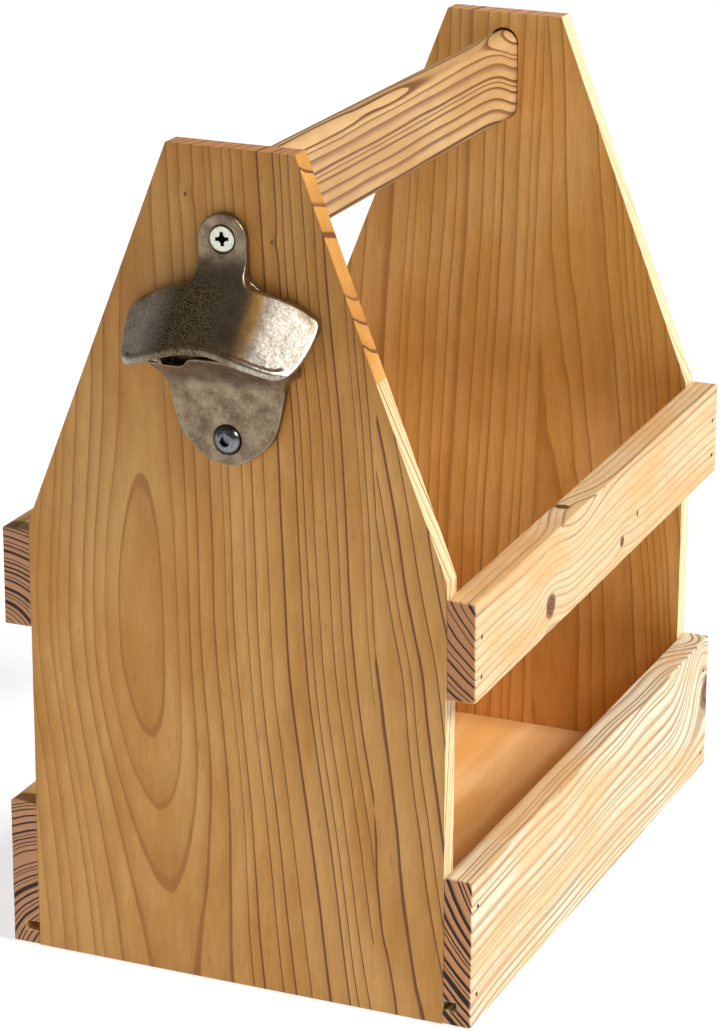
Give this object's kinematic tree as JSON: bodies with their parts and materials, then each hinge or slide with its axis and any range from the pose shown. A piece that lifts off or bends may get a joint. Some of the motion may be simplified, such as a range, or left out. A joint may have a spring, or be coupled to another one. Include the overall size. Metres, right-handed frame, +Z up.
{
  "type": "bottle carrier",
  "caption": "Open wooden bottle carrier with tapered end panels, nailed side boards, a bar handle and a cast crown-cap opener screwed to the front.",
  "frame": {"origin": "On the ground, under the middle of the whole carrier with its opener.", "axes": "+Z up. +Y from the front panel, which carries the opener, to the rear panel. +X to the right of someone facing the front panel."},
  "size_m": [0.169, 0.2716, 0.287],
  "materials": {
    "panel_pine": "clear satin over golden pine",
    "board_pine": "bare pale pine",
    "handle_pine": "bare pine with dark grain lines",
    "deck_ply": "smooth fine-grained plywood",
    "cast_metal": "worn antique casting, satin",
    "zinc_steel": "bright zinc",
    "dark_nickel": "dark polished nickel",
    "nail_steel": "dull wire"
  },
  "bodies": {
    "root": {"front_panel": "panel_pine", "rear_panel": "panel_pine", "handle": "handle_pine", "upper_slat_right": "board_pine", "upper_slat_left": "board_pine", "lower_board_right": "board_pine", "lower_board_left": "board_pine", "bottom_panel": "deck_ply", "bottle_opener": "cast_metal", "opener_screw_top": "zinc_steel", "opener_screw_bottom": "dark_nickel", "nail_upper_slat_right_front_bottom": "nail_steel", "nail_upper_slat_right_front_top": "nail_steel", "nail_upper_slat_right_rear_bottom": "nail_steel", "nail_upper_slat_right_rear_top": "nail_steel", "nail_upper_slat_left_front_bottom": "nail_steel", "nail_upper_slat_left_front_top": "nail_steel", "nail_upper_slat_left_rear_bottom": "nail_steel", "nail_upper_slat_left_rear_top": "nail_steel", "nail_lower_board_right_front_bottom": "nail_steel", "nail_lower_board_right_front_top": "nail_steel", "nail_lower_board_right_rear_bottom": "nail_steel", "nail_lower_board_right_rear_top": "nail_steel", "nail_lower_board_left_front_bottom": "nail_steel", "nail_lower_board_left_front_top": "nail_steel", "nail_lower_board_left_rear_bottom": "nail_steel", "nail_lower_board_left_rear_top": "nail_steel"}
  },
  "joints": []
}
